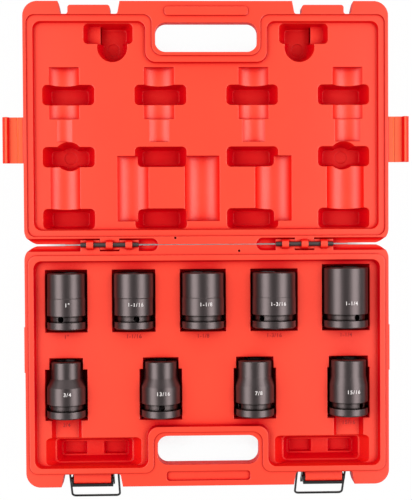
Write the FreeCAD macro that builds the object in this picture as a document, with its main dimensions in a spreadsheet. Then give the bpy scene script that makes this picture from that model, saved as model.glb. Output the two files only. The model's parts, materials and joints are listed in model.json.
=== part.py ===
"""Nine impact sockets in a blow-moulded carrying case, lying open.

The case opens about a hinge line along X. Every piece is drawn with that line as its X axis and the
rim plane as z = 0: the base reaches towards -Y, the lid towards +Y. A common placement then lifts the
set so that the middle of the base's foot is the origin.
"""

import FreeCAD
import Part
import math
import os
import re
import Sketcher

# Driving sizes in millimetres and degrees. "reach" is a distance from the hinge line.
SIZES = {
    # Case halves
    "case_width": 400,
    "case_reach": 266,
    "base_depth": 48,
    "lid_depth": 30,
    "body_reach": 250,
    "base_flange": 22,
    "lid_flange": 16,
    "rim_gap": 0.25,
    "rear_gap": 0.4,
    "corner_gap": 1.1,
    "stop_width": 312,
    "corner_radius": 16,
    "foot_radius": 6,
    "wall_draft": 3,
    "skin": 2.5,
    "overcut": 1.6,
    # Recessed panel and the rim round it
    "rim_width": 9.5,
    "front_rim": 20.5,
    "base_rear_rim": 17,
    "lid_rear_rim": 15,
    "base_recess": 5,
    "lid_recess": 6,
    "panel_run": 2,
    "panel_radius": 9,
    "tongue_width": 5.4,
    "tongue_height": 1.3,
    "rebate_width": 6,
    "rebate_depth": 2,
    # Carry handle and the key that lines the two grips up
    "handle_width": 112,
    "handle_near": 210.5,
    "handle_far": 242.5,
    "handle_radius": 11.5,
    "handle_land": 9.5,
    "grip_bevel": 5,
    "key_width": 91,
    "key_length": 9.4,
    "key_reach": 255,
    "key_height": 2,
    "key_clearance": 0.5,
    # Hinges
    "hinge_inset": 93,
    "hinge_pin_diameter": 5,
    "hinge_fit": 0.05,
    "knuckle_width": 21.3,
    "knuckle_gap": 0.4,
    "knuckle_radius": 5.2,
    "knuckle_strap": 7.5,
    "cove_radius": 7,
    "cove_end": 61,
    "vent_diameter": 2.6,
    "vent_reach": 4.8,
    "vent_offset": 35,
    # Front latches
    "latch_inset": 72,
    "notch_depth": 14,
    "notch_half": 31,
    "notch_flare": 3,
    "notch_radius": 2.5,
    "lid_tab_radius": 3,
    "base_tab_half": 20.35,
    "lid_tab_half": 23,
    "lid_tab_setback": 4.2,
    "tab_nose_radius": 4,
    "lever_setback": 6.2,
    "lever_drop": 8,
    "lever_gap": 0.5,
    "lever_clearance": 0.55,
    "lever_sheet": 1.6,
    "lever_roll": 3,
    "lever_length": 24,
    "ear_radius": 3.2,
    "rivet_diameter": 4,
    "rivet_fit": 0.05,
    "rivet_head": 6.4,
    "rivet_head_height": 1.2,
    "bail_setback": 10.5,
    "bail_drop": 23,
    "bail_wire": 2.4,
    "bail_fit": 0.08,
    "bail_half": 27.2,
    "bail_bend": 4,
    "catch_setback": 8.5,
    "catch_gap": 0.2,
    # Side flaps on living hinges
    "flap_reach": 114.6,
    "flap_width": 50,
    "ledge_length": 5.2,
    "ledge_drop": 1,
    "flap_thickness": 2.4,
    "flap_gap": 0.6,
    "web_length": 1.2,
    "web_thickness": 0.8,
    "flap_panel": 8,
    "hook_length": 4,
    "hook_height": 4.4,
    "lip_length": 3.4,
    "side_catch_proud": 0.9,
    "side_catch_height": 6.4,
    # Stiffening wells of the lid
    "well_width": 57,
    "well_length": 22.4,
    "well_depth": 19.5,
    "well_run_across": 7.5,
    "well_run_along": 2.5,
    "well_radius": 5,
    "well_floor_radius": 2,
    "well_pitch_across": 101,
    "well_pitch_along": 68,
    "well_first": 28.6,
    "round_well_radius": 16.6,
    "round_well_run": 5,
    "ring_radius": 6.8,
    "ring_depth": 0.8,
    "front_well_spacing": 215,
    "front_well_width": 54,
    "front_well_reach": 231.5,
    "front_well_radius": 5,
    "front_block_width": 18,
    "front_block_drop": 10,
    "front_round_spacing": 206,
    "front_round_reach": 217,
    "trough_clearance": 0.8,
    "trough_end": 5,
    # Trays and channels of the base
    "tray_spacing": 252.6,
    "tray_width": 105,
    "tray_reach": 228,
    "tray_length": 30.6,
    "tray_radius": 5,
    "tray_depth": 9,
    "tray_run_across": 9,
    "tray_run_along": 1,
    "tray_ledge": 1.6,
    "funnel_depth": 11,
    "funnel_run_across": 4.3,
    "funnel_run_along": 4.1,
    "funnel_radius": 4,
    "pit_depth": 5,
    "pit_run_across": 2.3,
    "pit_run_along": 0.6,
    "pit_radius": 2.5,
    "divider_width": 19,
    "divider_run": 2.5,
    "channel_width": 33,
    "channel_depth": 6,
    "channel_run": 4,
    # Nests that hold the sockets
    "axis_drop": 10,
    "nest_fit": 0.3,
    "nest_flare": 1.2,
    "nest_end": 2.6,
    "nest_web": 26.4,
    "upper_row_shift": 0.6,
    "upper_row_end": 92.7,
    "lower_row_end": 190,
    "lower_pitch": 104,
    "shoulder": 52,
    # Shapes that all the sockets share
    "drive_square": 19.3,
    "drive_depth": 22,
    "hex_depth": 27,
    "relief_diameter": 17.5,
    "groove_start": 8.2,
    "groove_width": 7.2,
    "groove_depth": 3.2,
    "cross_hole": 6.8,
    "end_chamfer": 1.2,
    "body_length": 34,
    "flare_length": 9.5,
    "step_length": 0.8,
    # Each socket: nose, body at the drive end, length, hexagon across flats, turn about its axis
    "three_quarter_nose": 34.5,
    "three_quarter_body": 44.3,
    "three_quarter_length": 62,
    "three_quarter_hex": 19.3,
    "three_quarter_turn": -75,
    "thirteen_sixteenth_nose": 37,
    "thirteen_sixteenth_body": 44.5,
    "thirteen_sixteenth_length": 62,
    "thirteen_sixteenth_hex": 20.9,
    "thirteen_sixteenth_turn": 4,
    "seven_eighth_nose": 39,
    "seven_eighth_body": 44.5,
    "seven_eighth_length": 62,
    "seven_eighth_hex": 22.5,
    "seven_eighth_turn": -64,
    "fifteen_sixteenth_nose": 41,
    "fifteen_sixteenth_body": 44.5,
    "fifteen_sixteenth_length": 62,
    "fifteen_sixteenth_hex": 24.1,
    "fifteen_sixteenth_turn": 42,
    "one_inch_nose": 43.2,
    "one_inch_body": 44,
    "one_inch_length": 62,
    "one_inch_hex": 25.7,
    "one_inch_turn": -14,
    "one_and_sixteenth_nose": 45.4,
    "one_and_sixteenth_body": 44.6,
    "one_and_sixteenth_length": 62,
    "one_and_sixteenth_hex": 27.3,
    "one_and_sixteenth_turn": 11,
    "one_and_eighth_nose": 47.6,
    "one_and_eighth_body": 48.4,
    "one_and_eighth_length": 62,
    "one_and_eighth_hex": 28.9,
    "one_and_eighth_turn": 85,
    "one_and_three_sixteenth_nose": 49.4,
    "one_and_three_sixteenth_body": 50,
    "one_and_three_sixteenth_length": 62,
    "one_and_three_sixteenth_hex": 30.5,
    "one_and_three_sixteenth_turn": -42,
    "one_and_quarter_nose": 50.6,
    "one_and_quarter_body": 50.6,
    "one_and_quarter_length": 66.5,
    "one_and_quarter_hex": 32.1,
    "one_and_quarter_turn": 27,
}

# Sockets from left to right in each row: key in the sheet and name of the piece
UPPER_ROW = (
    ("one_inch", "socket_1_inch"),
    ("one_and_sixteenth", "socket_1_1_16_inch"),
    ("one_and_eighth", "socket_1_1_8_inch"),
    ("one_and_three_sixteenth", "socket_1_3_16_inch"),
    ("one_and_quarter", "socket_1_1_4_inch"),
)
LOWER_ROW = (
    ("three_quarter", "socket_3_4_inch"),
    ("thirteen_sixteenth", "socket_13_16_inch"),
    ("seven_eighth", "socket_7_8_inch"),
    ("fifteen_sixteenth", "socket_15_16_inch"),
)
BASE, LID = -1, 1
TRAY_LEVELS = ("tray", "funnel", "pit")
SIDES = (("left", -1), ("right", 1))
X_AXIS = FreeCAD.Vector(1, 0, 0)
Y_AXIS = FreeCAD.Vector(0, 1, 0)
Z_AXIS = FreeCAD.Vector(0, 0, 1)
TOUCH = 1e-6

doc = FreeCAD.newDocument("socket_set")
sheet = doc.addObject("Spreadsheet::Sheet", "sizes")
pieces = []


def fill_sheet():
    """Writes the driving sizes to the sheet, one alias a row."""
    for row, (alias, number) in enumerate(SIZES.items(), start=1):
        sheet.set(f"A{row}", alias)
        sheet.set(f"B{row}", str(number))
        sheet.setAlias(f"B{row}", alias)
    doc.recompute()


def linked(expression):
    """The expression with each alias pointed at the sheet."""
    return re.sub(r"[a-z_]+", lambda word: f"sizes.{word[0]}" if word[0] in SIZES else word[0], expression)


def size(expression):
    """What an expression over the sheet comes to."""
    return float(sheet.evalExpression(linked(str(expression))))


def bind(thing, **sizes_of):
    """Binds properties to expressions over the sheet; two underscores stand for a dot."""
    for name, expression in sizes_of.items():
        thing.setExpression(name.replace("__", "."), linked(str(expression)))


def span(side, near, far):
    """Low and high y of a stretch between two reaches on one half of the case."""
    if side == LID:
        return near, far
    return f"-({far})", f"-({near})"


def joined(name, solids):
    """One solid out of several."""
    if len(solids) == 1:
        return solids[0]
    fused = doc.addObject("Part::MultiFuse", name)
    fused.Shapes = solids
    fused.Refine = True
    return fused


def without(name, solid, tools):
    """A solid with tools cut away."""
    cut = doc.addObject("Part::Cut", name)
    cut.Base = solid
    cut.Tool = joined(name + "_tools", tools)
    cut.Refine = True
    return cut


def rounded(solid, choices):
    """The solid with fillets: choices pairs a test of an edge's middle and direction with a radius."""
    doc.recompute()
    edges = []
    for index, edge in enumerate(solid.Shape.Edges, start=1):
        if edge.isClosed():
            continue
        middle = edge.valueAt((edge.FirstParameter + edge.LastParameter) / 2)
        along = (edge.Vertexes[-1].Point - edge.Vertexes[0].Point).normalize()
        for test, radius in choices:
            if test(middle, along):
                edges.append((index, size(radius), size(radius)))
                break
    fillet = doc.addObject("Part::Fillet", solid.Name + "_rounded")
    fillet.Base = solid
    fillet.Edges = edges
    return fillet


def upright(middle, along):
    """True for an edge that runs up a wall, straight or drafted."""
    return abs(along.z) > 0.4


def upright_at(y):
    """Test for edges that run up a wall at one y."""
    return lambda middle, along: upright(middle, along) and abs(middle.y - y) < TOUCH


def frustum(name, across, along, top, depth, run_across, run_along, corner=None, floor=None):
    """Block with drafted walls, its mouth at top, with rounded corners and floor edges if asked."""
    wedge = doc.addObject("Part::Wedge", name)
    bind(
        wedge,
        Xmin=across[0],
        Xmax=across[1],
        Ymin=0,
        Ymax=depth,
        Zmin=along[0],
        Zmax=along[1],
        X2min=f"({across[0]}) + ({run_across})",
        X2max=f"({across[1]}) - ({run_across})",
        Z2min=f"({along[0]}) + ({run_along})",
        Z2max=f"({along[1]}) - ({run_along})",
    )
    wedge.Placement.Rotation = FreeCAD.Rotation(X_AXIS, -90)
    bind(wedge, Placement__Base__z=top)
    choices = []
    if corner:
        choices.append((upright, corner))
    if floor:
        bottom = size(f"({top}) - ({depth})")
        choices.append((lambda middle, _: abs(middle.z - bottom) < TOUCH, floor))
    return rounded(wedge, choices) if choices else wedge


def rod(name, radius, length, x, y, z, axis):
    """Cylinder that starts at a point and runs along an axis."""
    cylinder = doc.addObject("Part::Cylinder", name)
    bind(cylinder, Radius=radius, Height=length)
    cylinder.Placement.Rotation = FreeCAD.Rotation(Z_AXIS, axis)
    bind(cylinder, Placement__Base__x=x, Placement__Base__y=y, Placement__Base__z=z)
    return cylinder


def block(name, across, along, up):
    """Plain box between low and high x, y and z."""
    box = doc.addObject("Part::Box", name)
    lengths = [f"({high}) - ({low})" for low, high in (across, along, up)]
    bind(box, Length=lengths[0], Width=lengths[1], Height=lengths[2])
    bind(box, Placement__Base__x=across[0], Placement__Base__y=along[0], Placement__Base__z=up[0])
    return box


def finish_piece(solid, label):
    """Names a finished piece and puts it in the set's own frame."""
    solid.Label = label
    turn = solid.Placement.Rotation
    spot = solid.Placement.Base
    lift = FreeCAD.Vector(0, size("(case_reach + rear_gap) / 2"), size("base_depth"))
    solid.Placement = FreeCAD.Placement(spot + lift, turn)
    pieces.append(solid)


# Sketches


def plane_of(body, role):
    """One of a body's own origin planes."""
    return next(f for f in body.Origin.OriginFeatures if f.Role == role)


def new_sketch(body, name, role, offset=None):
    """Sketch on a plane of the body, moved along the plane's normal."""
    sketch = body.newObject("Sketcher::SketchObject", name)
    sketch.AttachmentSupport = [(plane_of(body, role), "")]
    sketch.MapMode = "FlatFace"
    if offset:
        bind(sketch, AttachmentOffset__Base__z=offset)
    return sketch


def pin_point(sketch, line, end, x, y):
    """Fixes one end of a line at a point given by two expressions."""
    for kind, axis, expression in (("DistanceX", -2, x), ("DistanceY", -1, y)):
        number = size(expression)
        if abs(number) < TOUCH:
            sketch.addConstraint(Sketcher.Constraint("PointOnObject", line, end, axis))
        else:
            index = sketch.addConstraint(Sketcher.Constraint(kind, -1, 1, line, end, number))
            sketch.setExpression(f"Constraints[{index}]", linked(str(expression)))


def draw_outline(sketch, points):
    """Closed outline of straight lines through points given as pairs of expressions."""
    corners = [FreeCAD.Vector(size(x), size(y), 0) for x, y in points]
    lines = [
        sketch.addGeometry(Part.LineSegment(corner, corners[(i + 1) % len(corners)]), False)
        for i, corner in enumerate(corners)
    ]
    for i, line in enumerate(lines):
        sketch.addConstraint(Sketcher.Constraint("Coincident", line, 2, lines[(i + 1) % len(lines)], 1))
        pin_point(sketch, line, 1, *points[i])


def draw_circle(sketch, x, y, radius):
    """Circle given by expressions."""
    middle = FreeCAD.Vector(size(x), size(y), 0)
    circle = sketch.addGeometry(Part.Circle(middle, Z_AXIS, size(radius)), False)
    pin_point(sketch, circle, 3, x, y)
    index = sketch.addConstraint(Sketcher.Constraint("Radius", circle, size(radius)))
    sketch.setExpression(f"Constraints[{index}]", linked(radius))


def add_pocket(body, sketch, name, depth=None, reverse=False):
    """Cuts a sketch into its body, to a depth or right through both ways, and checks that it cut."""
    before = body.Shape.Volume
    pocket = body.newObject("PartDesign::Pocket", name)
    pocket.Profile = sketch
    pocket.Reversed = reverse
    if depth:
        bind(pocket, Length=depth)
    else:
        pocket.Type = "ThroughAll"
        pocket.Midplane = True
    doc.recompute()
    if body.Shape.Volume > before - TOUCH:
        raise RuntimeError(f"{name} cuts nothing")
    return pocket


# Case halves


def panel_tool(side, name, grow, top, depth, run):
    """Outline of the recessed panel: a drafted slab that goes round the handle."""
    rear = "base_rear_rim" if side == BASE else "lid_rear_rim"
    half = f"case_width / 2 - rim_width + {grow}"
    slab = frustum(
        name,
        (f"-({half})", half),
        span(side, f"{rear} - {grow}", f"case_reach - front_rim + {grow}"),
        top,
        depth,
        run,
        run,
        corner="panel_radius",
    )
    island_half = f"handle_width / 2 + handle_land - {grow}"
    island = frustum(
        name + "_island",
        (f"-({island_half})", island_half),
        span(side, f"handle_near - handle_land + {grow}", "case_reach * 2"),
        f"{top} + overcut",
        f"{depth} + 2 * overcut",
        f"-({run})",
        f"-({run})",
        corner="handle_radius",
    )
    notched = without(name + "_notched", slab, [island])
    front = size(f"{side} * (case_reach - front_rim + {grow})")
    edge_x = size(island_half)

    def at_shoulder(middle, along):
        near_side = abs(abs(middle.x) - edge_x) < size("panel_radius") / 2
        return upright(middle, along) and near_side and abs(middle.y - front) < size("panel_radius") / 2

    return rounded(notched, [(at_shoulder, "panel_radius")])


def outer_block(side, name, depth, flange):
    """Deep box of a half and its shallower front flange, still solid."""
    edge = ("-case_width / 2", "case_width / 2")
    parts = []
    for part, near, far, thick in (
        ("body", "rear_gap", "body_reach", depth),
        ("flange", "body_reach / 2", "case_reach", flange),
    ):
        inset = f"({thick} - rim_gap) * tan(wall_draft)"
        reach = span(side, near, far)
        parts.append(
            frustum(
                f"{name}_{part}",
                edge,
                reach,
                "-rim_gap",
                f"{thick} - rim_gap",
                inset,
                inset,
                corner="corner_radius",
                floor="foot_radius",
            )
        )
    return parts


def handle_tools(side, name, depth, flange, grow="0"):
    """What is cut for the handle: the bay under the flange, the finger hole and its bevel."""
    bay_half = f"handle_width / 2 + handle_land + {grow}"
    bay = frustum(
        name + "_bay",
        (f"-({bay_half})", bay_half),
        span(side, f"handle_near - handle_land - {grow}", "case_reach * 1.1"),
        f"-{flange} + {grow}",
        f"{depth} + overcut",
        "-panel_run",
        "-panel_run",
        corner="handle_radius",
    )
    half = f"handle_width / 2 + {grow}"
    reach = span(side, f"handle_near - {grow}", f"handle_far + {grow}")
    hole = frustum(
        name + "_hole",
        (f"-({half})", half),
        reach,
        "overcut",
        f"{depth} + 2 * overcut",
        "0",
        "0",
        corner="handle_radius",
    )
    bevel = frustum(
        name + "_bevel",
        (f"-({half})", half),
        reach,
        f"-{flange} + grip_bevel",
        "grip_bevel + overcut",
        "-grip_bevel - overcut",
        "-grip_bevel - overcut",
        corner="handle_radius",
    )
    return [bay, hole, bevel]


def cove_tools(side, name, grow="0"):
    """Hollows along the hinge line that leave room for the knuckles."""
    tools = []
    for label, hand in SIDES:
        radius = f"cove_radius + {grow}"
        length = "case_width / 2 - cove_end"
        start = f"{hand} * cove_end"
        axis = X_AXIS * hand
        tools.append(rod(f"{name}_{label}", radius, length, start, "0", "0", axis))
        ball = doc.addObject("Part::Sphere", f"{name}_{label}_end")
        bind(ball, Radius=radius, Placement__Base__x=start)
        tools.append(ball)
        gap = (f"{hand} * stop_width / 2", f"{hand} * case_width")
        if hand < 0:
            gap = (gap[1], gap[0])
        reach = span(side, f"-corner_gap - {grow}", f"corner_gap + {grow}")
        tools.append(block(f"{name}_{label}_gap", gap, reach, ("-base_depth - overcut", "overcut")))
    return tools


def knuckles(side, name):
    """Barrels that carry the hinge pins: two on the base's side of each hinge, one on the lid's."""
    solids = []
    steps = (-1, 1) if side == BASE else (0,)
    for label, hand in SIDES:
        for step in steps:
            here = f"{name}_{label}_{step + 1}"
            middle = f"{hand} * (case_width / 2 - hinge_inset) + {step} * knuckle_width"
            half = "(knuckle_width - knuckle_gap) / 2"
            edge = (f"{middle} - {half}", f"{middle} + {half}")
            length = "knuckle_width - knuckle_gap"
            barrel = rod(here + "_barrel", "knuckle_radius", length, edge[0], "0", "0", X_AXIS)
            reach = span(side, "0", "cove_radius + skin / 2")
            root = block(here + "_root", edge, reach, ("-cove_radius - skin / 2", "-rim_gap"))
            tools = [
                rod(
                    here + "_bore",
                    "hinge_pin_diameter / 2 + hinge_fit",
                    f"{length} + 2 * overcut",
                    f"{edge[0]} - overcut",
                    "0",
                    "0",
                    X_AXIS,
                )
            ]
            for window, low, high in (
                ("near", f"{edge[0]} - overcut", f"{middle} - knuckle_strap / 2"),
                ("far", f"{middle} + knuckle_strap / 2", f"{edge[1]} + overcut"),
            ):
                across_barrel = ("-2 * knuckle_radius", "2 * knuckle_radius")
                tools.append(
                    block(f"{here}_{window}", (low, high), across_barrel, ("-rim_gap", "knuckle_radius * 2"))
                )
            solids.append(without(here, joined(here + "_solid", [barrel, root]), tools))
    return solids


def latch_notches(side, name, tab_half):
    """Gaps beside each front tab that the arms of a bail swing through."""
    tools = []
    for label, hand in SIDES:
        for flank, turn in (("inner", -hand), ("outer", hand)):
            here = f"{name}_{label}_{flank}"
            middle = f"{hand} * (case_width / 2 - latch_inset)"
            tab_edge = f"{middle} + {turn} * {tab_half}"
            sections = [
                (tab_edge, f"{middle} + {turn} * notch_half"),
                (tab_edge, f"{middle} + {turn} * (notch_half + notch_flare)"),
            ]
            if turn < 0:
                sections = [section[::-1] for section in sections]
            first, last = sections if side == LID else sections[::-1]
            reach = span(side, "case_reach - notch_depth", "case_reach + overcut")
            gap = doc.addObject("Part::Wedge", here)
            bind(gap, Xmin=first[0], Xmax=first[1], X2min=last[0], X2max=last[1])
            bind(gap, Ymin=reach[0], Ymax=reach[1])
            bind(gap, Zmin="-base_depth", Zmax="overcut", Z2min="-base_depth", Z2max="overcut")
            inner = size(f"{side} * (case_reach - notch_depth)")
            tools.append(rounded(gap, [(upright_at(inner), "notch_radius")]))
    return tools


def shell(side, name, depth, flange, additions, tools, walls, softened=()):
    """A double-walled half: outer block with its hollow kept a skin away from every cut.

    softened lists tests of edges to round at the end, each with its radius.
    """
    inset = f"skin + ({depth} - rim_gap) * tan(wall_draft)"
    recess = "base_recess" if side == BASE else "lid_recess"
    hollow = frustum(
        name + "_hollow",
        (f"-case_width / 2 + {inset}", f"case_width / 2 - ({inset})"),
        span(side, f"rear_gap + {inset}", f"body_reach - ({inset})"),
        f"-{recess} - skin",
        f"{depth} - {recess} - 2 * skin",
        "0",
        "0",
        corner="corner_radius / 2",
    )
    walls = walls + handle_tools(side, name + "_handle_wall", depth, flange, grow="skin")
    walls += cove_tools(side, name + "_cove_wall", grow="skin")
    cavity = without(name + "_cavity", hollow, walls)
    vent = rod(
        name + "_vent",
        "vent_diameter / 2",
        f"{recess} + skin + overcut + 1",
        f"{-side} * vent_offset",
        f"{side} * (vent_reach + skin)",
        f"-{recess} - skin - 1",
        Z_AXIS,
    )
    cuts = tools + handle_tools(side, name + "_handle", depth, flange) + cove_tools(side, name + "_cove")
    block_solid = joined(name + "_block", outer_block(side, name, depth, flange) + additions)
    moulded = without(name + "_moulded", block_solid, cuts + [cavity, vent])
    if softened:
        moulded = rounded(moulded, softened)
    return joined(name, [moulded] + knuckles(side, name + "_knuckle"))


def widest(key):
    """Radius of a socket where it is widest."""
    return f"max({key}_body; {key}_nose) / 2"


def row_places():
    """x of each socket's axis: the upper row leaves equal webs, the lower row has an even pitch."""
    places = {}
    widths = [f"2 * ({widest(key)} + nest_fit + nest_flare)" for key, _ in UPPER_ROW]
    total = " + ".join(f"({width})" for width in widths) + f" + {len(widths) - 1} * nest_web"
    run = f"upper_row_shift - ({total}) / 2"
    for (key, _), width in zip(UPPER_ROW, widths):
        places[key] = f"{run} + ({width}) / 2"
        run = f"{run} + ({width}) + nest_web"
    for i, (key, _) in enumerate(LOWER_ROW):
        places[key] = f"{i - (len(LOWER_ROW) - 1) / 2} * lower_pitch"
    return places


def nest_tools(places, name, grow="0"):
    """Hollows that the sockets lie in: a half-round bed with flared walls up to the panel."""
    tools = []
    for row, end in ((UPPER_ROW, "upper_row_end"), (LOWER_ROW, "lower_row_end")):
        for key, _ in row:
            x = places[key]
            start = f"{end} - {key}_length - nest_end - {grow}"
            stop = f"{end} + nest_end + {grow}"
            stretches = [(f"{name}_{key}", widest(key), start, stop)]
            if row is LOWER_ROW:
                split = f"{end} - shoulder - {grow}"
                stretches = [
                    (f"{name}_{key}", widest(key), split, stop),
                    (f"{name}_{key}_nose", f"{key}_nose / 2", start, f"{split} + overcut"),
                ]
            for here, radius, near, far in stretches:
                bed = f"{radius} + nest_fit + {grow}"
                length = f"({far}) - ({near})"
                tools.append(rod(here + "_bed", bed, length, x, f"-({far})", "-axis_drop", Y_AXIS))
                mouth = f"{bed} + nest_flare"
                rise = "axis_drop - base_recess"
                flare_depth = f"{rise} + overcut"
                tools.append(
                    frustum(
                        here + "_mouth",
                        (f"{x} - ({mouth})", f"{x} + ({mouth})"),
                        span(BASE, f"{near} - nest_flare", f"{far} + nest_flare"),
                        "-base_recess + overcut",
                        flare_depth,
                        "nest_flare",
                        "nest_flare",
                    )
                )
    return tools


def tray_tools(places, name, grow="0"):
    """Two storage trays that step down over two ledges to a pair of pits, and the channels into them."""
    tools = []
    for (label, hand), (key, _) in zip(SIDES, (LOWER_ROW[0], LOWER_ROW[-1])):
        middle = f"{hand} * tray_spacing / 2"
        half, length, top = f"tray_width / 2 + {grow}", f"tray_length / 2 + {grow}", "-base_recess"
        steps = []
        for level in TRAY_LEVELS:
            steps.append(
                frustum(
                    f"{name}_{label}_{level}",
                    (f"{middle} - ({half})", f"{middle} + {half}"),
                    span(BASE, f"tray_reach - ({length})", f"tray_reach + {length}"),
                    top,
                    f"{level}_depth + {grow}",
                    f"{level}_run_across",
                    f"{level}_run_along",
                    corner=f"{level}_radius",
                )
            )
            half += f" - {level}_run_across - tray_ledge"
            length += f" - {level}_run_along - tray_ledge"
            top += f" - {level}_depth"
        tray, funnel, pit = steps
        divider_half = f"divider_width / 2 - {grow}"
        divider = frustum(
            f"{name}_{label}_divider",
            (f"{middle} - ({divider_half})", f"{middle} + {divider_half}"),
            span(BASE, "tray_reach - tray_length", "tray_reach + tray_length"),
            f"-base_recess - tray_depth - funnel_depth - {grow}",
            "pit_depth + overcut",
            "-divider_run",
            "0",
        )
        tools += [tray, funnel]
        tools.append(without(f"{name}_{label}_pits", pit, [divider]))
        x = places[key]
        wide = f"channel_width / 2 + {grow}"
        tools.append(
            frustum(
                f"{name}_{label}_channel",
                (f"{x} - ({wide})", f"{x} + {wide}"),
                span(BASE, "lower_row_end", "tray_reach - tray_length / 2 + tray_run_along * 2"),
                "-base_recess",
                f"channel_depth + {grow}",
                "channel_run",
                "0",
            )
        )
    return tools


def base_tabs():
    """Cuts that turn the base's front tabs into rounded lever mounts."""
    tools = []
    for label, hand in SIDES:
        middle = f"{hand} * (case_width / 2 - latch_inset)"
        edge = (f"{middle} - base_tab_half - overcut", f"{middle} + base_tab_half + overcut")
        pivot = "case_reach - lever_setback"
        top = "tab_nose_radius - lever_drop"
        reach = span(BASE, "case_reach - notch_depth", "case_reach + overcut")
        tools.append(block(f"tab_{label}_top", edge, reach, (top, "overcut")))
        front = span(BASE, pivot, "case_reach + overcut")
        corner = block(f"tab_{label}_front", edge, front, ("-base_flange - overcut", top))
        long = f"({edge[1]}) - ({edge[0]})"
        here = f"tab_{label}_nose"
        nose = rod(here, "tab_nose_radius", long, edge[0], f"-({pivot})", "-lever_drop", X_AXIS)
        low = span(BASE, pivot, f"{pivot} + tab_nose_radius")
        foot = block(f"tab_{label}_foot", edge, low, ("-base_flange - 2 * overcut", "-lever_drop"))
        tools.append(without(f"tab_{label}_round", corner, [nose, foot]))
        bore = "rivet_diameter / 2 + rivet_fit"
        tools.append(rod(f"tab_{label}_bore", bore, long, edge[0], f"-({pivot})", "-lever_drop", X_AXIS))
    return tools


def make_base(places):
    """Lower half of the case, with nests, trays, handle, knuckles and latch tabs."""
    clear = "tongue_height + overcut"
    panel = panel_tool(BASE, "base_panel", "0", clear, f"{clear} + base_recess", "panel_run")
    tongue = panel_tool(BASE, "base_tongue", "tongue_width", "tongue_height", f"{clear} + rim_gap", "0")
    key_half = "key_width / 2 + key_clearance"
    key_long = "key_length / 2 + key_clearance"
    groove = frustum(
        "key_groove",
        (f"-({key_half})", key_half),
        span(BASE, f"key_reach - ({key_long})", f"key_reach + {key_long}"),
        "overcut",
        "overcut + key_height + key_clearance",
        "0",
        "0",
        corner="key_length / 3",
    )
    catches = [
        block(
            f"side_catch_{label}",
            (
                ("-case_width / 2 - side_catch_proud", "-case_width / 2 + skin"),
                ("case_width / 2 - skin", "case_width / 2 + side_catch_proud"),
            )[hand > 0],
            span(BASE, "flap_reach - flap_width / 2", "flap_reach + flap_width / 2"),
            ("-rim_gap - side_catch_height", "-rim_gap"),
        )
        for label, hand in SIDES
    ]
    tools = [panel, groove] + nest_tools(places, "nest") + tray_tools(places, "tray")
    tools += latch_notches(BASE, "base_notch", "base_tab_half") + base_tabs()
    walls = nest_tools(places, "nest_wall", grow="skin") + tray_tools(places, "tray_wall", grow="skin")
    finish_piece(
        shell(BASE, "case_base_solid", "base_depth", "base_flange", [tongue] + catches, tools, walls),
        "case_base",
    )


def lid_wells(name, grow="0"):
    """Grid of deep stiffening wells, some with a round well, and two beside the handle."""
    tools = []
    deep = f"well_depth + {grow}"

    def well(here, x, reach, width, corner):
        half = f"{width} / 2 + {grow}"
        length = f"well_length / 2 + {grow}"
        return frustum(
            here,
            (f"{x} - ({half})", f"{x} + {half}"),
            span(LID, f"{reach} - ({length})", f"{reach} + {length}"),
            "-lid_recess",
            deep,
            "well_run_across",
            "well_run_along",
            corner=corner,
            floor="well_floor_radius",
        )

    def round_well(here, x, reach):
        cone = doc.addObject("Part::Cone", here)
        bottom = f"-lid_recess - ({deep})"
        top_radius = f"round_well_radius + {grow}"
        bind(cone, Radius1=f"{top_radius} - round_well_run", Radius2=top_radius, Height=deep)
        bind(cone, Placement__Base__x=x, Placement__Base__y=reach, Placement__Base__z=bottom)
        ring_bottom = f"{bottom} - ring_depth"
        ring = rod(f"{here}_ring", "ring_radius", "ring_depth * 2", x, reach, ring_bottom, Z_AXIS)
        return [cone, ring]

    for column in range(4):
        x = f"{column - 1.5} * well_pitch_across"
        for row in range(3):
            reach = f"well_first + {row} * well_pitch_along"
            tools.append(well(f"{name}_{column}_{row}", x, reach, "well_width", "well_radius"))
            if row == 1 and column in (0, 3):
                tools += round_well(f"{name}_round_{column}", x, reach)
    for label, hand in SIDES:
        x = f"{hand} * front_well_spacing / 2"
        front = well(f"{name}_front_{label}", x, "front_well_reach", "front_well_width", "front_well_radius")
        outer = f"{x} + {hand} * (front_well_width / 2 + skin)"
        edge = (outer, f"{outer} - {hand} * (front_block_width + skin)")
        step = block(
            f"{name}_front_{label}_step",
            edge if hand < 0 else edge[::-1],
            span(LID, "front_well_reach - well_length", "front_well_reach + well_length"),
            ("-lid_depth", f"-lid_recess - front_block_drop - {grow}"),
        )
        tools.append(without(f"{name}_front_{label}_stepped", front, [step]))
        x = f"{hand} * front_round_spacing / 2"
        tools += round_well(f"{name}_front_round_{label}", x, "front_round_reach")
    return tools


def trough_tools(places, name, grow="0"):
    """Half-round troughs that clear the sockets when the lid is shut."""
    tools = []
    rise = "axis_drop"
    for row, end in ((UPPER_ROW, "upper_row_end"), (LOWER_ROW, "lower_row_end")):
        for key, _ in row:
            start, stop = f"{end} - {key}_length - trough_end", f"{end} + trough_end"
            stretches = [(f"{name}_{key}", widest(key), start, stop)]
            if row is LOWER_ROW:
                split = f"{end} - shoulder"
                nose_start = f"{start} - trough_end * 2"
                stretches = [
                    (f"{name}_{key}", widest(key), split, stop),
                    (f"{name}_{key}_nose", f"{key}_nose / 2", nose_start, f"{split} + overcut"),
                ]
            for here, radius, near, far in stretches:
                bow = f"{radius} + trough_clearance + {grow}"
                length = f"({far}) - ({near}) + 2 * ({grow})"
                begin = f"({near}) - ({grow})"
                tools.append(rod(here, bow, length, places[key], begin, rise, Y_AXIS))
    return tools


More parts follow.
